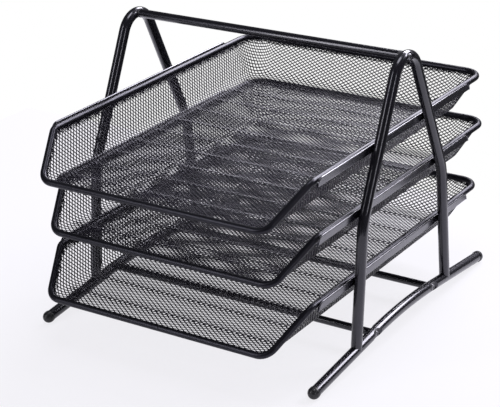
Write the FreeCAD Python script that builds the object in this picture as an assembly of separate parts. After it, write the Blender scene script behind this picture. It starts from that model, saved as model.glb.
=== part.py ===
import FreeCAD, Part
import math
import os

V = FreeCAD.Vector

# Letter tray stack: two bent-tube end frames, a carry bar, cross bars and three
# expanded-metal trays that slide forward on short steel rails.
# Millimetres. +X right, +Y back, +Z up. Origin on the desk, midway between the
# end frames and midway between front and back.

# ---- End frames: one bent tube each, standing on a sloping foot bar ----
leg_radius = 5.0            # 10 mm tube
leg_wall = 1.0
carry_bar_z = 257.3         # centre of the tube at the top of the arch
apex_bend = 22.0            # bend radius of the tube's centre line at the top
leg_lean = 25.3             # degrees from upright, upper part of each leg
knee_z = 129.5              # where the leg turns nearly upright
knee_bend = 60.0
leg_foot_y = 86.0           # the leg meets the foot bar here

# ---- Foot bars and caps ----
cap_y = 159.0               # centre of the cap's dome
cap_radius = 5.5
cap_flat = 0.2              # how much of the dome's underside is flat on the desk
cap_lip = 2.0               # lip between the dome and the tube's end
cap_stem = 12.0
foot_slope = 5.7            # degrees, from the cap up towards the middle
foot_bend = 600.0

# ---- Cross bars and carry bar ----
cross_bar_radius = 3.5
cross_bar_wall = 0.8
cross_bar_y = 55.0
carry_bar_radius = 4.0
carry_bar_wall = 1.0
collar_length = 3.0         # plastic collar between the carry bar and the arch
plug_length = 14.0

# ---- Screws and the flats pressed in the tubes for them ----
screw_radius = 1.5
screw_hole_clearance = 0.1
screw_head_radius = 2.9
screw_head_height = 2.0
screw_length = 16.0         # under the head
apex_half_thickness = 3.0   # of the pressed tube at the top of the arch
foot_half_thickness = 2.2   # of the pressed foot bar
flat_radius = 4.8           # of each pressed flat
flat_blend = 3.2            # how far the flat's sloped edge runs out past it

# ---- Trays ----
tray_levels = {"top": 188.5, "middle": 137.0, "bottom": 76.5}   # rim centre heights
tray_drawn = {"top": 9.0, "middle": 0.0, "bottom": 11.0}        # pulled forward at rest
rim_radius = 3.0
rim_half_width = 132.9      # to the rim's centre line
rim_back_y = 188.2          # with the tray pushed right in
rim_bend_y = -135.2         # front end of the level part of the rim
lip_y = -177.2
lip_drop = 31.9             # rim centre down to the front lip's centre
rim_back_corner = 18.0      # bend radii of the rim's centre line
rim_front_bend = 10.0
lip_corner = 14.0
tub_depth = 34.0            # rim centre down to the middle of the floor's sheet
tub_sheet = 0.5
tub_floor_half_width = 113.8
tub_floor_bend = 12.0       # floor to wall
tub_floor_corner = 14.0     # in plan, at floor level
hem_width = 1.6             # pressed band of the mesh below the rim
hem_sheet = 0.5
# coarse openings that stand for the expanded metal's diamonds
mesh_columns = 9            # across the floor and the back
mesh_rows = 12              # front to back, on the floor and the sides
mesh_wall_rows = 2
mesh_web = 5.5              # sheet left between two openings
mesh_wall_web = 2.6         # sheet left between the rows of a wall
mesh_border = 1.5           # sheet left beside a bend or the hem

# ---- Rails ----
rail_sheet = 1.2
rail_end_y = 141.0
rail_end_round = 6.5
rail_above = 3.0            # top of the rail above the rim's centre
rim_to_rail = 0.3           # rim's underside above the rail's ledge
ledge_reach = 0.5           # how far the ledge reaches in past the rim's centre line
rim_to_upright = 0.9        # clearance between the rim and the rail's upright side
ledge_front_y = -131.0      # the rim's front bend stops against this end
rail_bend = 1.6

# the rails stand beside the rims, and the end frames stand against the rails
frame_x = rim_half_width + rim_radius + rim_to_upright + rail_sheet + leg_radius
ledge_inner_x = rim_half_width - ledge_reach
leg_bore = leg_radius - leg_wall
press_clearance = 0.02      # plugs and stems in their tubes
tan_wall = (rim_half_width - tub_floor_half_width) / tub_depth
wall_run = math.hypot(1.0, tan_wall)    # sideways shift of a wall per mm of offset


def tangent_path(corners, bends, closed=False):
    """Straight runs joined by tangent arcs through the given corners."""
    count = len(corners)
    turning = range(count) if closed else range(1, count - 1)
    starts, ends, arcs = {}, {}, {}
    for i in turning:
        here = corners[i]
        before = (here - corners[i - 1]).normalize()
        after = (corners[(i + 1) % count] - here).normalize()
        turn = before.getAngle(after)
        reach = bends[i] * math.tan(turn / 2)
        starts[i], ends[i] = here - before * reach, here + after * reach
        axis = before.cross(after).normalize()
        centre = starts[i] + axis.cross(before) * bends[i]
        arcs[i] = ("arc", starts[i], before, centre, axis, math.degrees(turn))
    path = []
    for i in range(count if closed else count - 1):
        j = (i + 1) % count
        path.append(("line", ends.get(i, corners[i]), starts.get(j, corners[j])))
        if j in arcs:
            path.append(arcs[j])
    return path


def rod(path, radius):
    """A round bar along a path of straight runs and arcs."""
    pieces = []
    for step in path:
        if step[0] == "line":
            start, end = step[1:]
            pieces.append(Part.makeCylinder(radius, (end - start).Length, start, end - start))
        else:
            start, along, centre, axis, degrees = step[1:]
            disc = Part.Face(Part.Wire(Part.makeCircle(radius, start, along)))
            pieces.append(disc.revolve(centre, axis, degrees))
    if len(pieces) == 1:
        return pieces[0]
    return pieces[0].multiFuse(pieces[1:]).removeSplitter()


def largest(shape):
    """The biggest solid of a cut, without the slivers beyond the cut's far side."""
    return max(shape.Solids, key=lambda solid: solid.Volume)


def cylinder_x(radius, x_from, x_to, y, z):
    low, high = min(x_from, x_to), max(x_from, x_to)
    return Part.makeCylinder(radius, high - low, V(low, y, z), V(1, 0, 0))


def press_flat(tube, side, y, z, half_thickness):
    """Presses both faces of a tube flat around a screw: a flat with a sloped edge."""
    for way in (1, -1):
        seat = side * frame_x + way * half_thickness
        cone = Part.makeCone(flat_radius, flat_radius + 2 * flat_blend, 2 * flat_blend,
                             V(seat, y, z), V(way, 0, 0))
        tube = tube.cut(cone)
    return tube


def foot_path(side, from_y, to_y):
    """The foot bar's centre line: two straight slopes and a long arc between them."""
    rise = math.tan(math.radians(foot_slope))
    x = side * frame_x
    corners = [V(x, y, cap_radius - cap_flat + (cap_y - abs(y)) * rise) for y in (from_y, 0, to_y)]
    return tangent_path(corners, {1: foot_bend})


def foot_z(y):
    """Height of the foot bar's centre line at y, on its middle arc."""
    slope = math.radians(foot_slope)
    top = cap_radius - cap_flat + cap_y * math.tan(slope) - foot_bend * (1 / math.cos(slope) - 1)
    return top - (foot_bend - math.sqrt(foot_bend ** 2 - y ** 2))


cross_bar_z = foot_z(cross_bar_y)


def foot_bar(side):
    """A tube, pressed flat and solid at the two screws and open at both ends."""
    end_y = cap_y - cap_lip * math.cos(math.radians(foot_slope))
    path = foot_path(side, -end_y, end_y)
    bore = rod(foot_path(side, -end_y, end_y), leg_bore)
    for y in (-cross_bar_y, cross_bar_y):
        bore = bore.cut(cylinder_x(9.0, side * frame_x - 8, side * frame_x + 8, y, cross_bar_z))
    bar = rod(path, leg_radius).cut(bore)
    for y in (-cross_bar_y, cross_bar_y):
        bar = press_flat(bar, side, y, cross_bar_z, foot_half_thickness)
        bar = bar.cut(cylinder_x(screw_radius + screw_hole_clearance,
                                 side * frame_x - 8, side * frame_x + 8, y, cross_bar_z))
    return bar


def arch(side):
    """One bent tube: apex, leaning legs, knees and feet shaped to sit on the foot bar."""
    lean = math.radians(leg_lean)
    peak_z = carry_bar_z + apex_bend * (1 / math.sin(lean) - 1)
    knee_y = (peak_z - knee_z) * math.tan(lean)
    foot_bottom = cap_radius + (cap_y - leg_foot_y) * math.tan(math.radians(foot_slope))
    x = side * frame_x
    corners = [V(x, -leg_foot_y, foot_bottom), V(x, -knee_y, knee_z), V(x, 0, peak_z),
               V(x, knee_y, knee_z), V(x, leg_foot_y, foot_bottom)]
    path = tangent_path(corners, {1: knee_bend, 2: apex_bend, 3: knee_bend})
    bore = rod(path, leg_bore).cut(cylinder_x(11.0, x - 8, x + 8, 0, carry_bar_z))
    tube = rod(path, leg_radius).cut(bore)
    tube = press_flat(tube, side, 0, carry_bar_z, apex_half_thickness)
    tube = tube.cut(cylinder_x(screw_radius + screw_hole_clearance, x - 8, x + 8, 0, carry_bar_z))
    return largest(tube.cut(rod(foot_path(side, -cap_y, cap_y), leg_radius)))


def foot_cap(side, end):
    """Plastic cap: stem in the tube, lip over its end, dome with a small flat underneath."""
    slope = math.radians(foot_slope)
    outward = V(0, end * math.cos(slope), -math.sin(slope))
    centre = V(side * frame_x, end * cap_y, cap_radius - cap_flat)
    dome = Part.makeSphere(cap_radius, centre)
    behind = Part.makeCylinder(2 * cap_radius, 2 * cap_radius, centre, outward * -1)
    lip = Part.makeCylinder(cap_radius, cap_lip, centre, outward * -1)
    stem = Part.makeCylinder(leg_bore - press_clearance, cap_stem + cap_lip, centre, outward * -1)
    cap = dome.cut(behind).multiFuse([lip, stem]).removeSplitter()
    wide = 8 * cap_radius
    below = Part.makeBox(wide, wide, wide, V(centre.x - wide / 2, centre.y - wide / 2, -wide))
    return cap.cut(below)


def pan_screw(seat_x, side, y, z):
    """Pan-head screw along X, its head's underside at seat_x."""
    head = cylinder_x(screw_head_radius, seat_x, seat_x + side * screw_head_height, y, z)
    rim = [e for e in head.Edges
           if abs(e.CenterOfMass.x - seat_x - side * screw_head_height) < 0.01
           and e.Length > screw_head_radius]
    head = head.makeFillet(1.3, rim)
    shank = cylinder_x(screw_radius, seat_x + side * 0.5, seat_x - side * screw_length, y, z)
    screw = head.fuse(shank).removeSplitter()
    top = seat_x + side * screw_head_height
    for size_y, size_z in ((3.4, 0.8), (0.8, 3.4)):
        low_x = min(top - side * 1.2, top + side * 1.0)
        screw = screw.cut(Part.makeBox(2.2, size_y, size_z,
                                       V(low_x, y - size_y / 2, z - size_z / 2)))
    return screw


def carry_bar():
    half = frame_x - apex_half_thickness - collar_length
    return cylinder_x(carry_bar_radius, -half, half, 0, carry_bar_z).cut(
        cylinder_x(carry_bar_radius - carry_bar_wall, -half, half, 0, carry_bar_z))


def carry_bar_plug(side):
    """Plastic collar and stem in the carry bar's end, bored for the screw."""
    inner = side * (frame_x - apex_half_thickness)
    face = inner - side * collar_length
    collar = cylinder_x(carry_bar_radius + 0.25, inner, face, 0, carry_bar_z)
    stem = cylinder_x(carry_bar_radius - carry_bar_wall - press_clearance,
                      inner, face - side * plug_length, 0, carry_bar_z)
    return collar.fuse(stem).removeSplitter().cut(
        cylinder_x(screw_radius, inner + side, face - side * plug_length - side, 0, carry_bar_z))


def cross_bar(y):
    half = frame_x - foot_half_thickness
    return cylinder_x(cross_bar_radius, -half, half, y, cross_bar_z).cut(
        cylinder_x(cross_bar_radius - cross_bar_wall, -half, half, y, cross_bar_z))


def cross_bar_plug(side, y):
    """Threaded steel slug in a cross bar's end, flush with it."""
    end = side * (frame_x - foot_half_thickness)
    slug = cylinder_x(cross_bar_radius - cross_bar_wall - press_clearance,
                      end, end - side * plug_length, y, cross_bar_z)
    return slug.cut(cylinder_x(screw_radius, end + side, end - side * (plug_length + 1),
                               y, cross_bar_z))


def rail(side, level):
    """Folded strip: an upright side against the legs and a ledge under the rim."""
    outer = frame_x - leg_radius
    ledge_top = level - rim_radius - rim_to_rail
    bottom = ledge_top - rail_sheet
    length = 2 * rail_end_y
    upright = Part.makeBox(rail_sheet, length, level + rail_above - bottom,
                           V(outer - rail_sheet, -rail_end_y, bottom))
    ends = [e for e in upright.Edges
            if abs(e.CenterOfMass.z - level - rail_above) < 0.01
            and abs(abs(e.CenterOfMass.y) - rail_end_y) < 0.01]
    upright = upright.makeFillet(rail_end_round, ends)
    ledge = Part.makeBox(outer - ledge_inner_x, rail_end_y - ledge_front_y, rail_sheet,
                         V(ledge_inner_x, ledge_front_y, bottom))
    strip = upright.fuse(ledge).removeSplitter()
    folds = [e for e in strip.Edges
             if abs(e.CenterOfMass.x - outer) < 0.01 and abs(e.CenterOfMass.z - bottom) < 0.01]
    strip = strip.makeFillet(rail_bend - 0.6, folds)
    if side < 0:
        strip = strip.mirror(V(0, 0, 0), V(1, 0, 0))
    return strip


def rim_path():
    """The rim's closed centre line, rim level at z = 0, tray pushed right in."""
    lip_half = rim_half_width - lip_drop * tan_wall
    corners = [V(-rim_half_width, rim_back_y, 0), V(-rim_half_width, rim_bend_y, 0),
               V(-lip_half, lip_y, -lip_drop), V(lip_half, lip_y, -lip_drop),
               V(rim_half_width, rim_bend_y, 0), V(rim_half_width, rim_back_y, 0)]
    bends = {0: rim_back_corner, 1: rim_front_bend, 2: lip_corner,
             3: lip_corner, 4: rim_front_bend, 5: rim_back_corner}
    return tangent_path(corners, bends, closed=True)


def tub_block(offset):
    """Solid block out to the tub's surface, moved outwards by offset."""
    wires = []
    for z, corner in ((-tub_depth - offset, tub_floor_corner), (0.0, rim_back_corner)):
        half = rim_half_width + z * tan_wall + offset * wall_run
        back = rim_back_y + z * tan_wall + offset * wall_run
        front, r = lip_y - 20.0, corner + offset
        middle = r * (1 - math.sqrt(0.5))
        wires.append(Part.Wire([
            Part.makeLine(V(-half, front, z), V(-half, back - r, z)),
            Part.Arc(V(-half, back - r, z), V(-half + middle, back - middle, z),
                     V(-half + r, back, z)).toShape(),
            Part.makeLine(V(-half + r, back, z), V(half - r, back, z)),
            Part.Arc(V(half - r, back, z), V(half - middle, back - middle, z),
                     V(half, back - r, z)).toShape(),
            Part.makeLine(V(half, back - r, z), V(half, front, z)),
            Part.makeLine(V(half, front, z), V(-half, front, z))]))
    block = Part.makeLoft(wires, True, True)
    floor_z = -tub_depth - offset
    floor_edges = [e for e in block.Edges
                   if all(abs(v.Z - floor_z) < 0.01 for v in e.Vertexes)
                   and not all(abs(v.Y - lip_y + 20.0) < 0.01 for v in e.Vertexes)]
    return block.makeFillet(tub_floor_bend + offset, floor_edges)


def side_outline(inset):
    """The tray seen from the side, below the rim's centre line, as a wide prism."""
    run, drop = lip_y - rim_bend_y, -lip_drop
    length = math.hypot(run, drop)
    # the sloping front edge moved inwards along its normal
    slide_y = inset * -drop / length
    slide_z = inset * run / length
    top = -inset

    def on_slope(z):
        return rim_bend_y + slide_y + (z - slide_z) * run / drop

    front, rear = lip_y + inset, 2 * rim_back_y
    corner_z = slide_z + (front - slide_y - rim_bend_y) * drop / run
    left, under = -2 * rim_half_width, -2 * tub_depth
    points = [V(left, rear, top), V(left, on_slope(top), top), V(left, front, corner_z),
              V(left, front, under), V(left, rear, under)]
    return Part.Face(Part.makePolygon(points + points[:1])).extrude(V(-2 * left, 0, 0))


def spread(low, high, count, web):
    """Openings side by side from low to high, with a web between neighbours."""
    pitch = (high - low + web) / count
    return [(low + i * pitch, low + (i + 1) * pitch - web) for i in range(count)]


def mesh_openings():
    """Prisms through the tub's floor, sides and back, clear of its bends and corners."""
    turn = math.pi / 2 - math.atan(tan_wall)
    reach = tub_floor_bend * math.tan(turn / 2)
    floor_x = tub_floor_half_width - reach - mesh_border
    floor_back = rim_back_y - tub_depth * tan_wall
    wall_low = -tub_depth + tub_floor_bend * (1 - math.cos(turn)) + mesh_border
    rim_band = rim_radius + hem_width + mesh_border
    front = lip_y + rim_band
    columns = spread(-floor_x, floor_x, mesh_columns, mesh_web)
    walls = spread(wall_low, -rim_band, mesh_wall_rows, mesh_wall_web)
    prisms = [Part.makeBox(x1 - x0, y1 - y0, 2 * tub_sheet, V(x0, y0, -tub_depth - tub_sheet))
              for x0, x1 in columns
              for y0, y1 in spread(front, floor_back - reach - mesh_border, mesh_rows, mesh_web)]
    back_x = tub_floor_half_width - tub_floor_corner
    prisms += [Part.makeBox(x1 - x0, 2 * rim_back_y, z1 - z0, V(x0, 0, z0))
               for x0, x1 in spread(-back_x, back_x, mesh_columns, mesh_web)
               for z0, z1 in walls]
    behind_slope = side_outline(rim_band)
    prisms += [Part.makeBox(4 * rim_half_width, y1 - y0, z1 - z0,
                            V(-2 * rim_half_width, y0, z0)).common(behind_slope)
               for y0, y1 in spread(front, floor_back - tub_floor_corner, mesh_rows, mesh_web)
               for z0, z1 in walls]
    return Part.makeCompound(prisms)


def tray():
    """Tub, rim and hem of a tray pushed right in, with its rim level at z = 0."""
    rim = rod(rim_path(), rim_radius)
    half = tub_sheet / 2
    inner = tub_block(-half)
    whole = side_outline(0.0)
    tub = largest(tub_block(half).cut(inner).common(whole).cut(rim).cut(mesh_openings()))
    band = whole.cut(side_outline(rim_radius + hem_width))
    hem = largest(inner.cut(tub_block(-half - hem_sheet)).common(band).cut(rim))
    return {"mesh": tub, "rim": rim, "hem": hem}


parts = {
    "top_bar": carry_bar(),
    "top_bar_plugs": Part.makeCompound([carry_bar_plug(s) for s in (-1, 1)]),
    "top_bar_screws": Part.makeCompound(
        [pan_screw(s * (frame_x + apex_half_thickness), s, 0, carry_bar_z) for s in (-1, 1)]),
    "cross_bar_front": cross_bar(-cross_bar_y),
    "cross_bar_rear": cross_bar(cross_bar_y),
    "cross_bar_plugs": Part.makeCompound(
        [cross_bar_plug(s, y) for s in (-1, 1) for y in (-cross_bar_y, cross_bar_y)]),
    "cross_bar_screws": Part.makeCompound(
        [pan_screw(s * (frame_x + foot_half_thickness), s, y, cross_bar_z)
         for s in (-1, 1) for y in (-cross_bar_y, cross_bar_y)]),
}
for side, side_name in ((-1, "left"), (1, "right")):
    parts["arch_" + side_name] = arch(side)
    parts["foot_bar_" + side_name] = foot_bar(side)
    for end, end_name in ((-1, "front"), (1, "rear")):
        parts["foot_cap_" + end_name + "_" + side_name] = foot_cap(side, end)
    for name, level in tray_levels.items():
        parts["rail_" + name + "_" + side_name] = rail(side, level)
for kind, piece in tray().items():
    for name, level in tray_levels.items():
        parts["tray_" + name + "_" + kind] = piece.copy()
        parts["tray_" + name + "_" + kind].translate(V(0, -tray_drawn[name], level))

os.makedirs("parts", exist_ok=True)
for name, shape in sorted(parts.items()):
    shape.exportStep("parts/" + name + ".step")
    box = shape.BoundBox
    print("%-26s solids %d valid %s volume %10.1f  x %8.2f %8.2f  y %8.2f %8.2f  z %8.2f %8.2f"
          % (name, len(shape.Solids), shape.isValid(), shape.Volume,
             box.XMin, box.XMax, box.YMin, box.YMax, box.ZMin, box.ZMax))
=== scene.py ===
import math

import bpy
import numpy as np
from mathutils import Matrix, Vector


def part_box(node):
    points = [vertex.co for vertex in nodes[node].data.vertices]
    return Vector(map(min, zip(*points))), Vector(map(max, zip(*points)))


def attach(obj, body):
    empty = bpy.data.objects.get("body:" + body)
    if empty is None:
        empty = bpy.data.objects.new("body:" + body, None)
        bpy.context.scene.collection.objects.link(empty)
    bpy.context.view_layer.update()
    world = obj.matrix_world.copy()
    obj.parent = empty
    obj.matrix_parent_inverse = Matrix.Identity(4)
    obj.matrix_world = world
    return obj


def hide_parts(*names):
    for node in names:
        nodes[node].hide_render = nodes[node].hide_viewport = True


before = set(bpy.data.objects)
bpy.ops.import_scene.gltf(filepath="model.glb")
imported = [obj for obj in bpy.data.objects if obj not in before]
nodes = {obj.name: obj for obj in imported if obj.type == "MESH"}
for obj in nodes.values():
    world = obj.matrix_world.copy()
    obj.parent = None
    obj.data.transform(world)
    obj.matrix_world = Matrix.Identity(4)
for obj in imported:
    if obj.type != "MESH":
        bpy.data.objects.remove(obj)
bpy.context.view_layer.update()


# ---------------------------------------------------------------------------
# Arches, foot bars, cross bars and carry bar: bent and straight steel tube,
# welded or screwed together and powder-coated in a glossy near-black with a
# faint orange peel. The coat is a little thinner, paler and duller in places.

class Shade:
    """A shader socket that can be used in arithmetic; each step adds its node."""

    def __init__(self, tree, socket):
        self.tree, self.socket = tree, socket

    def node(self, kind, settings=None, sockets=None, out=0):
        """A new node in this tree, as its output of that number or name."""
        made = self.tree.nodes.new("ShaderNode" + kind)
        for name, value in (settings or {}).items():
            setattr(made, name, value)
        for name, value in (sockets or {}).items():
            if isinstance(value, Shade):
                self.tree.links.new(value.socket, made.inputs[name])
            else:
                made.inputs[name].default_value = value
        return Shade(self.tree, made.outputs[out])

    def maths(self, operation, a, b):
        return self.node("Math", {"operation": operation}, {0: a, 1: b})

    def __add__(self, other):
        return self.maths("ADD", self, other)

    def __radd__(self, other):
        return self.maths("ADD", other, self)

    def __sub__(self, other):
        return self.maths("SUBTRACT", self, other)

    def __rsub__(self, other):
        return self.maths("SUBTRACT", other, self)

    def __mul__(self, other):
        return self.maths("MULTIPLY", self, other)

    def __rmul__(self, other):
        return self.maths("MULTIPLY", other, self)

    def clamp(self):
        return self.node("Clamp", None, {0: self})

    def past(self, start, rise):
        """0 up to start, and from there rising to 1."""
        return ((self - start) * rise).clamp()

    def blend(self, low, high):
        """A colour between low and high, by this factor. 6, 7 and 2 are the colour sockets."""
        return self.node("Mix", {"data_type": "RGBA"}, {0: self, 6: (*low, 1.0), 7: (*high, 1.0)}, 2)


def finish_of(name, **plain):
    """A new material, its object coordinates to start from, and its main shader. plain holds
    the sockets that are the same all over it."""
    material = bpy.data.materials.new(name)
    material.use_nodes = True
    tree = material.node_tree
    shader = next(n for n in tree.nodes if n.type == "BSDF_PRINCIPLED")
    for socket, value in plain.items():
        shader.inputs[socket.replace("_", " ")].default_value = value
    place = Shade(tree, shader.outputs[0]).node("TexCoord", out="Object")
    return material, place, shader


def noise(place, scale, detail=2.0, roughness=0.5):
    return place.node("TexNoise", None, {"Vector": place, "Scale": scale, "Detail": detail,
                                         "Roughness": roughness})


def drive(shader, socket, value):
    value.tree.links.new(value.socket, shader.inputs[socket])


def bumps(shader, height, strength, depth):
    """Bumps where height is 1, this deep in metres at full strength."""
    drive(shader, "Normal", height.node("Bump", None, {"Strength": strength, "Distance": depth,
                                                       "Height": height}))


def paint(pieces, material):
    for piece in pieces:
        piece.data.materials.clear()
        piece.data.materials.append(material)


def powder_coat(name, dark, light, gloss, peel, coat, level):
    """Paint between a dark and a light tone. gloss is its least roughness, peel its ripple's
    depth, and coat and level are how strongly its clear top and its body mirror."""
    material, place, shader = finish_of(name, Specular_IOR_Level=level, Coat_IOR=1.5,
                                        Specular_Tint=(0.84, 0.83, 1.0, 1.0), Coat_Roughness=0.13)
    cloud = noise(place, scale=38.0, detail=3.0)
    speck = noise(place, scale=1500.0, roughness=0.6)
    ripple = noise(place, scale=180.0, detail=1.0, roughness=0.4)
    thin = cloud.past(start=0.42, rise=3.0)
    drive(shader, "Base Color", (thin * 0.8 + (speck - 0.5) * 0.5).clamp().blend(dark, light))
    drive(shader, "Roughness", gloss + cloud * 0.06 + speck * 0.04)
    drive(shader, "Coat Weight", coat - thin * 0.2 * coat)
    bumps(shader, ripple, strength=0.04, depth=peel)
    return material


tube_paint = powder_coat("tube_paint", dark=(0.005, 0.005, 0.007), light=(0.012, 0.011, 0.016),
                         gloss=0.20, peel=0.00003, coat=0.85, level=0.4)
paint([nodes[name] for name in ("arch_left", "arch_right", "foot_bar_left", "foot_bar_right",
                                "cross_bar_front", "cross_bar_rear", "top_bar")], tube_paint)


# ---------------------------------------------------------------------------
# End caps and the carry bar's collars: plastic mouldings, black and dark grey,
# pushed into the tubes. They are duller than the paint, with the fine grain of
# a spark-eroded mould.

cap_plastic, place, shader = finish_of("cap_plastic", Specular_IOR_Level=0.45)
grain = noise(place, scale=2600.0, detail=3.0, roughness=0.65)
flow = noise(place, scale=160.0)
drive(shader, "Base Color",
      (grain * 0.6 + flow * 0.4).blend((0.012, 0.012, 0.013), (0.034, 0.034, 0.036)))
drive(shader, "Roughness", 0.24 + grain * 0.14)
bumps(shader, grain, strength=0.15, depth=0.00004)
paint([nodes["foot_cap_%s_%s" % (end, side)]
       for end in ("front", "rear") for side in ("left", "right")], cap_plastic)

collar_plastic, place, shader = finish_of("collar_plastic", Specular_IOR_Level=0.5)
grain = noise(place, scale=2200.0, detail=3.0, roughness=0.6)
drive(shader, "Base Color", grain.blend((0.05, 0.05, 0.055), (0.10, 0.10, 0.108)))
drive(shader, "Roughness", 0.36 + grain * 0.15)
bumps(shader, grain, strength=0.25, depth=0.00004)
paint([nodes["top_bar_plugs"]], collar_plastic)


# ---------------------------------------------------------------------------
# Screws and threaded slugs: machined steel. The screws are plated and have
# dulled, with patches that are scuffed bright. The slugs sit inside the cross
# bars and keep the fine marks of the lathe.

screw_steel, place, shader = finish_of("screw_steel", Specular_IOR_Level=0.5)
scuff = noise(place, scale=900.0, detail=4.0, roughness=0.7)
bright = scuff.past(start=0.5, rise=5.0)
drive(shader, "Base Color", bright.blend((0.22, 0.22, 0.23), (0.60, 0.60, 0.62)))
drive(shader, "Metallic", 0.75 + bright * 0.25)
drive(shader, "Roughness", 0.42 - bright * 0.16)
bumps(shader, scuff, strength=0.3, depth=0.00004)
paint([nodes["top_bar_screws"], nodes["cross_bar_screws"]], screw_steel)

slug_steel, place, shader = finish_of("slug_steel", Specular_IOR_Level=0.5)
turned = place.node("TexWave", {"wave_type": "BANDS", "bands_direction": "X"},
                    {"Vector": place, "Scale": 700.0, "Distortion": 1.5})
drive(shader, "Base Color", turned.blend((0.32, 0.32, 0.33), (0.46, 0.46, 0.47)))
drive(shader, "Metallic", 0.9 + turned * 0.1)
drive(shader, "Roughness", 0.3 + turned * 0.15)
paint([nodes["cross_bar_plugs"]], slug_steel)


# ---------------------------------------------------------------------------
# Rails: folded steel strip welded to the legs, in the tubes' paint laid on a
# little thicker, so that their flat sides mirror the room. The strip's top edge
# is rolled over to a thin round, which goes down over the corner at both ends.

LEVELS = ("top", "middle", "bottom")
STRIP = 0.0012              # thickness of the strip
RAIL_CORNER = 0.0065        # radius of the upright side's upper corners
EDGE_ROUND = 0.0009         # radius of the rolled edge

rail_paint = powder_coat("rail_paint", dark=(0.006, 0.006, 0.008), light=(0.014, 0.013, 0.018),
                         gloss=0.20, peel=0.00004, coat=0.9, level=0.8)


def rolled_edge(level, side):
    """The round on one rail, in the middle of its strip: up over the front corner, along the
    top and down over the rear corner."""
    low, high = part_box("rail_%s_%s" % (level, side))
    x = low[0] + STRIP / 2 if side == "left" else high[0] - STRIP / 2
    front, top = low[1] + STRIP / 2, high[2] - STRIP / 2
    turns = [math.radians(angle) for angle in range(90, -1, -10)]
    path = [(front + RAIL_CORNER * (1 - math.sin(turn)), top - RAIL_CORNER * (1 - math.cos(turn)))
            for turn in turns]
    path += [(-y, z) for y, z in reversed(path)]
    curve = bpy.data.curves.new("rolled_edge_%s_%s" % (level, side), "CURVE")
    curve.dimensions, curve.bevel_depth, curve.bevel_resolution = "3D", EDGE_ROUND, 3
    curve.use_fill_caps = True
    line = curve.splines.new("POLY")
    line.points.add(len(path) - 1)
    for point, (y, z) in zip(line.points, path):
        point.co = (x, y, z, 1)
    curve.materials.append(rail_paint)
    edge = bpy.data.objects.new(curve.name, curve)
    bpy.context.scene.collection.objects.link(edge)
    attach(edge, "frame")


for level in LEVELS:
    for side in ("left", "right"):
        paint([nodes["rail_%s_%s" % (level, side)]], rail_paint)
        rolled_edge(level, side)


# ---------------------------------------------------------------------------
# Tray rims: one loop of 6 mm wire round each tray, welded shut at the back and
# coated together with the mesh. Sliding on the rails' ledges has left the coat
# on it satin rather than glossy.

rim_paint = powder_coat("rim_paint", dark=(0.006, 0.006, 0.008), light=(0.013, 0.013, 0.016),
                        gloss=0.27, peel=0.00005, coat=0.0, level=0.36)
paint([nodes["tray_%s_rim" % level] for level in LEVELS], rim_paint)


# ---------------------------------------------------------------------------
# Tray mesh: one sheet of expanded steel per tray, pressed into a shallow tub
# with flared sides and back, open in front, and stiffened by shallow beads across
# its floor. Its diamonds lie crosswise, and close up where the corners are drawn.

WIRE = 0.0030               # radius of the rim's wire

# the tub, from the tray's middle and from the middle of the rim's wire
RIM_HALF = 0.1329           # to the rim's side
RIM_BACK = 0.1882           # to the rim's back
BEND_Y = -0.1352            # where the rim turns down in front
LIP_Y = -0.1772             # where it has come down to the lip
DROP = 0.0319               # down to the lip
DEPTH = 0.0340              # down to the middle of the floor's sheet
BELOW_RIM = 0.0006          # down to the sheet's edge
FLOOR_HALF = 0.1138         # half the floor's width
CORNER_LOW = 0.014          # radius of the rear corners at the floor
CORNER_HIGH = 0.018         # and at the rim
FLOOR_BEND = 0.012          # radius between floor and wall

# the expanded metal
LONG_WAY = 0.0057           # width of one diamond
SHORT_WAY = 0.0041          # its length, front to back
SQUEEZE = 0.85              # of that length on the back wall, by the press
STRAND = 0.00103            # width of a strand
THICK = 0.00050             # the sheet's thickness at the bonds
TWIST = -0.00023            # how far an opening's rear end is lifted, and its front end sunk
BOND_WIDER = 0.03           # share of a diamond by which its side bonds are wider, the others narrower
SPARE = 2                   # rows of diamonds worked out past the sheet's edges

# the beads across the floor
BEAD = 0.0006               # height of a bead
BEAD_WIDTH = 0.0015         # half its width
BEAD_PITCH = 8 * SHORT_WAY
BEAD_PLACE = -72.5 * SHORT_WAY / 2      # of one bead, midway between two rows of diamonds
BEAD_RUN_OUT = 0.006        # over which a bead sinks into the floor, before the bends
BEAD_FRONT = 0.004          # from the lip to where a bead may start to rise
BEAD_FRONT_RUN = 0.012      # and from there to where it has its full height
BEAD_PINCH = 0.24           # how much a bead closes the openings on it
NEAR_PINCH = 0.12           # and how much those beside it, fading out halfway to the next
ON_FLOOR = 0.002            # height up to which the sheet counts as floor

NUDGE = 1e-5                # to either side of a point, to find which way the sheet faces there
TINY = 1e-16                # stands in for 0 where it would be divided by

flare = (RIM_HALF - FLOOR_HALF) / DEPTH
lean = math.atan(flare)
bend_turn = math.pi / 2 - lean              # of the bend between floor and wall
reach = FLOOR_BEND * math.tan(bend_turn / 2)
flat_end = CORNER_LOW - reach               # where the floor starts to bend, from the corner's centre
bend_end = flat_end + FLOOR_BEND * bend_turn
wall_start = FLOOR_BEND * (1 - math.cos(bend_turn))
wall_end = bend_end + (DEPTH - BELOW_RIM - wall_start) / math.cos(lean)
centre_x = FLOOR_HALF - CORNER_LOW
centre_y = RIM_BACK - DEPTH * flare - CORNER_LOW
lip_height = DEPTH - DROP
round_opening = [(1, 0), (0, 1), (-1, 0), (0, -1)]      # steps to the bonds at its four ends


def from_bead(y):
    """How far a place on the floor lies behind the nearest bead."""
    return (y - BEAD_PLACE + BEAD_PITCH / 2) % BEAD_PITCH - BEAD_PITCH / 2


def bead(y):
    """1 on the crest of a bead and 0 between two."""
    return np.exp(-(from_bead(y) / BEAD_WIDTH) ** 2)


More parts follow.
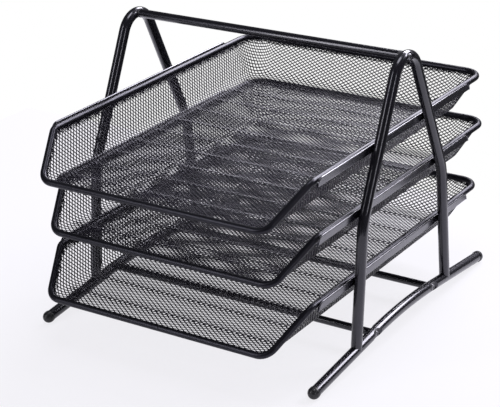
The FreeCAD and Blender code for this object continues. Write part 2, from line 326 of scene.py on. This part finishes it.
def past_corners(p, q):
    """How far a place on the sheet comes to lie sideways and back past the corners' centres."""
    side, back = np.maximum(np.abs(p) - centre_x, 0), np.maximum(q - centre_y, 0)
    return side, np.minimum(back, bend_end) + np.maximum(back - bend_end, 0) * SQUEEZE


def corner_reach(angle, wide, radius):
    """How far a square with one rounded corner reaches from its centre, at this angle."""
    cos, sin, square = np.cos(angle), np.sin(angle), wide - radius
    on_round = square * (cos + sin) + np.sqrt(np.maximum(
        (square * (cos + sin)) ** 2 - 2 * square ** 2 + radius ** 2, 0))
    on_side, on_back = wide / np.maximum(cos, TINY), wide / np.maximum(sin, TINY)
    return np.where(sin * wide < square * cos, on_side,
                    np.where(cos * wide < square * sin, on_back, on_round))


def press(p, q):
    """Points of the flat sheet moved to the pressed tub: x, y and height above its floor."""
    side, back = past_corners(p, q)
    out = np.minimum(np.hypot(side, back), wall_end)
    angle = np.where(out > 0, np.arctan2(back, side), 0)
    bend = np.clip((out - flat_end) / FLOOR_BEND, 0, bend_turn)
    up = np.maximum(out - bend_end, 0)
    z = FLOOR_BEND * (1 - np.cos(bend)) + up * math.cos(lean)
    inset = np.where(out < flat_end, CORNER_LOW - out,
                     reach - FLOOR_BEND * np.sin(bend) + z * flare - up * math.sin(lean))
    wide = CORNER_LOW + z * flare - inset       # the wall's distance from the corner's centre
    radius = CORNER_LOW + (CORNER_HIGH - CORNER_LOW) * z / DEPTH - inset
    along = corner_reach(angle, wide, radius)
    x = np.where(side > 0, centre_x + along * np.cos(angle), np.abs(p))
    y = np.where(back > 0, centre_y + along * np.sin(angle), q)
    risen = (np.clip((flat_end - out) / BEAD_RUN_OUT, 0, 1)
             * np.clip((y - LIP_Y - BEAD_FRONT) / BEAD_FRONT_RUN, 0, 1))
    return np.stack([np.sign(p) * x, y, z + risen * BEAD * bead(y)], axis=-1)


def front_edge(z):
    """Where the tub ends in front, at this height above its floor."""
    return LIP_Y + np.maximum(z - lip_height, 0) * (BEND_Y - LIP_Y) / DROP


def on_tub(p, q, lift):
    """Points of the flat sheet on the tub, held behind its front edge and lifted off it squarely."""
    spot = press(p, q)
    along = press(p + NUDGE, q) - press(p - NUDGE, q)
    aside = press(p, q + NUDGE) - press(p, q - NUDGE)
    normal = np.cross(along, aside)
    size = np.linalg.norm(normal, axis=-1, keepdims=True)
    normal = np.where(size > TINY, normal / np.maximum(size, TINY), [0, 0, 1])
    spot[..., 1] = np.maximum(spot[..., 1], front_edge(spot[..., 2]))
    return spot + normal * lift


def openness(q, z):
    """How much of its size an opening keeps near the beads."""
    near = 0.5 + 0.5 * np.cos(2 * math.pi * from_bead(q) / BEAD_PITCH)
    return 1 - (BEAD_PINCH * bead(q) + NEAR_PINCH * near) * (z < ON_FLOOR)


def smooth_mesh(name, points, faces):
    """A smooth-shaded mesh of four-cornered faces."""
    mesh = bpy.data.meshes.new(name)
    mesh.vertices.add(len(points))
    mesh.vertices.foreach_set("co", points.astype(np.float32).ravel())
    mesh.loops.add(faces.size)
    mesh.loops.foreach_set("vertex_index", faces.astype(np.int32).ravel())
    mesh.polygons.add(len(faces))
    mesh.polygons.foreach_set("loop_start", np.arange(0, faces.size, 4, dtype=np.int32))
    mesh.polygons.foreach_set("use_smooth", np.ones(len(faces), bool))
    mesh.update()
    mesh.validate()
    return mesh


def expanded_sheet(name, keep, lift=0.0, shift=0.0, strand=STRAND, long_way=LONG_WAY,
                   short_way=SHORT_WAY):
    """Strands of expanded metal over the tub. keep says which openings stay, by how far out
    on the sheet they lie and by their place on the tub."""
    half_p, half_q = long_way / 2, short_way / 2
    across = int((centre_x + wall_end) / half_p) + SPARE
    first = int(LIP_Y / half_q) - SPARE
    last = int((centre_y + wall_end / SQUEEZE) / half_q) + SPARE
    u, w = np.meshgrid(np.arange(-across, across + 1), np.arange(first, last + 1), indexing="ij")
    p, q = u * half_p + shift, w * half_q
    spot, out = press(p, q), np.hypot(*past_corners(p, q))
    holes = (u + w) % 2 == 0
    holes[[0, -1], :] = False
    holes[:, [0, -1]] = False
    holes &= (out < wall_end) & (spot[..., 1] > front_edge(spot[..., 2])) & keep(out, spot)
    hu, hw = np.nonzero(holes)

    # the bonds, where the corners of up to four openings meet, with a point above and one below
    used = np.zeros_like(holes)
    for du, dw in round_opening:
        used[hu + du, hw + dw] = True
    bu, bw = np.nonzero(used)
    bonds = np.zeros(holes.shape, int)
    bonds[bu, bw] = np.arange(len(bu))
    points = [on_tub(p[bu, bw], q[bu, bw], lift + THICK / 2),
              on_tub(p[bu, bw], q[bu, bw], lift - THICK / 2)]

    # each opening's own four ends, short of the bonds there
    share = 1 - strand / 2 * math.hypot(half_p, half_q) / (half_p * half_q)
    kept = openness(q[hu, hw], spot[hu, hw, 2])
    for du, dw in round_opening:
        points.append(on_tub(p[hu, hw] + (share - BOND_WIDER) * kept * du * half_p,
                             q[hu, hw] + (share + BOND_WIDER) * kept * dw * half_q, lift + TWIST * dw))

    # the strands' upper and lower faces, from each end of an opening to the next
    ends = [2 * len(bu) + k * len(hu) + np.arange(len(hu)) for k in range(4)]
    faces = []
    for k, (du, dw) in enumerate(round_opening):
        n = (k + 1) % 4
        a, b = bonds[hu + du, hw + dw], bonds[hu + round_opening[n][0], hw + round_opening[n][1]]
        faces.append(np.stack([a, b, ends[n], ends[k]], axis=1))
        faces.append(np.stack([b + len(bu), a + len(bu), ends[k], ends[n]], axis=1))
    return smooth_mesh(name, np.concatenate(points), np.concatenate(faces))


def fit_to_trays(kind, mesh, node_end):
    """A piece with this mesh in each tray, in the place of that tray's node. How high the tray
    stands, and how far it is drawn out, shows in its rim."""
    for level in LEVELS:
        rim_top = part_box("tray_%s_rim" % level)[1]
        rear, height = rim_top[1] - WIRE, rim_top[2] - WIRE
        piece = bpy.data.objects.new("%s_%s" % (kind, level), mesh)
        bpy.context.scene.collection.objects.link(piece)
        piece.location = (0, rear - RIM_BACK, height - DEPTH)
        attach(piece, "tray_" + level)
        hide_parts("tray_%s_%s" % (level, node_end))


mesh_paint = powder_coat("mesh_paint", dark=(0.005, 0.004, 0.008), light=(0.011, 0.009, 0.018),
                         gloss=0.25, peel=0.00003, coat=0.35, level=0.3)
tub_mesh = expanded_sheet("expanded_tub", keep=lambda out, spot: True)
tub_mesh.materials.append(mesh_paint)
fit_to_trays("expanded_mesh", tub_mesh, "mesh")


# ---------------------------------------------------------------------------
# Hems: the sheet's edge, folded back under the rim and rolled flat against the
# wall, so that two layers of squashed diamonds lie on each other.

HEM_WIDTH = 0.0046
wall_drop = DROP * math.hypot(1, flare)     # of the sloping front edge, along the flared wall
slope = wall_drop / math.hypot(BEND_Y - LIP_Y, wall_drop)


def in_hem(out, spot):
    """Whether a place lies within the hem's width of the sheet's edge, along the rim or in front."""
    behind = spot[..., 1] - front_edge(spot[..., 2])
    from_front = np.where(spot[..., 2] > lip_height, behind * slope, behind)
    return (out > wall_end - HEM_WIDTH) | (from_front < HEM_WIDTH)


hem_mesh = expanded_sheet("folded_hem", keep=in_hem, lift=0.00075, shift=0.0013, strand=0.00097,
                          long_way=0.0052, short_way=0.0024)
hem_mesh.materials.append(mesh_paint)
fit_to_trays("hem", hem_mesh, "hem")


# ---------------------------------------------------------------------------
# Floor, light and camera: a white sheet under the object, a large softbox high
# behind it, one overhead, and tall narrow ones in front at either side.

def seen_share(start, camera, transmission, glossy):
    """How much of the plain background each kind of ray sees."""
    return (start.node("LightPath", out="Is Camera Ray") * camera
            + start.node("LightPath", out="Is Transmission Ray") * transmission
            + start.node("LightPath", out="Is Glossy Ray") * glossy).clamp()


def put_out(shading):
    """This shading becomes what its tree puts out."""
    output = next(n for n in shading.tree.nodes if n.type in ("OUTPUT_MATERIAL", "OUTPUT_WORLD"))
    shading.tree.links.new(shading.socket, output.inputs["Surface"])


floor_paint, place, shader = finish_of("floor_paint", Roughness=0.9, Specular_IOR_Level=0.1)
fleck = noise(place, scale=9.0, detail=3.0)
drive(shader, "Base Color", fleck.blend((0.91, 0.90, 0.96), (0.94, 0.93, 0.99)))
glow = place.node("Emission", None, {"Color": (0.972, 0.964, 1.0, 1.0), "Strength": 1.0})
put_out(place.node("MixShader", None, {
    0: seen_share(place, camera=0.84, transmission=0.84, glossy=0.45),
    1: Shade(place.tree, shader.outputs[0]),
    2: glow}))
bpy.ops.mesh.primitive_plane_add(size=1.1, location=(0, -0.25, -0.0004))
floor = bpy.context.object
floor.name = "floor"
floor.data.materials.append(floor_paint)

world = bpy.data.worlds.new("room")
bpy.context.scene.world = world
world.use_nodes = True
background = next(n for n in world.node_tree.nodes if n.type == "BACKGROUND")
background.inputs["Color"].default_value = (0.84, 0.83, 1.0, 1.0)
background.inputs["Strength"].default_value = 0.045
room = Shade(world.node_tree, background.outputs[0])
put_out(room.node("MixShader", None, {
    0: seen_share(room, camera=1.0, transmission=1.0, glossy=0.04),
    1: room,
    2: room.node("Background", None, {"Color": (1, 1, 1, 1), "Strength": 1.0})}))


def softbox(name, place, aim, wide, high, power, colour):
    lamp = bpy.data.lights.new(name, "AREA")
    lamp.shape, lamp.size, lamp.size_y = "RECTANGLE", wide, high
    lamp.energy, lamp.color = power, colour
    made = bpy.data.objects.new(name, lamp)
    made.location = place
    made.rotation_euler = (Vector(aim) - Vector(place)).to_track_quat("-Z", "Y").to_euler()
    bpy.context.scene.collection.objects.link(made)


softbox("behind", place=(0.34, 1.60, 1.40), aim=(0.1, 0.0, 0.08), wide=2.3, high=0.66,
        power=70, colour=(0.94, 0.92, 1.0))
softbox("overhead", place=(0.15, 0.05, 2.3), aim=(0.15, 0.05, 0), wide=1.0, high=1.0,
        power=17, colour=(0.94, 0.93, 1.0))
softbox("left_front", place=(-0.82, -1.5, 0.85), aim=(0, 0, 0.12), wide=0.2, high=1.4,
        power=8, colour=(0.96, 0.95, 1.0))
softbox("right_front", place=(1.75, -0.9, 0.75), aim=(0, 0, 0.12), wide=0.16, high=0.7,
        power=3, colour=(0.95, 0.94, 1.0))

CAMERA_PLACE = (0.76824, -1.20594, 0.69021)
AZIMUTH, ELEVATION, ROLL = math.radians(33.18), math.radians(22.73), math.radians(-1.48)

camera_data = bpy.data.cameras.new("camera")
camera_data.sensor_width, camera_data.lens = 36.0, 118.72
camera = bpy.data.objects.new("camera", camera_data)
back = Vector((math.sin(AZIMUTH) * math.cos(ELEVATION), -math.cos(AZIMUTH) * math.cos(ELEVATION),
               math.sin(ELEVATION)))
level_right = Vector((math.cos(AZIMUTH), math.sin(AZIMUTH), 0))
level_up = back.cross(level_right)
right = level_right * math.cos(ROLL) + level_up * math.sin(ROLL)
up = level_up * math.cos(ROLL) - level_right * math.sin(ROLL)
camera.matrix_world = Matrix((right, up, back)).transposed().to_4x4()
camera.location = CAMERA_PLACE
bpy.context.scene.collection.objects.link(camera)
bpy.context.scene.camera = camera
bpy.context.scene.view_settings.view_transform = "Standard"
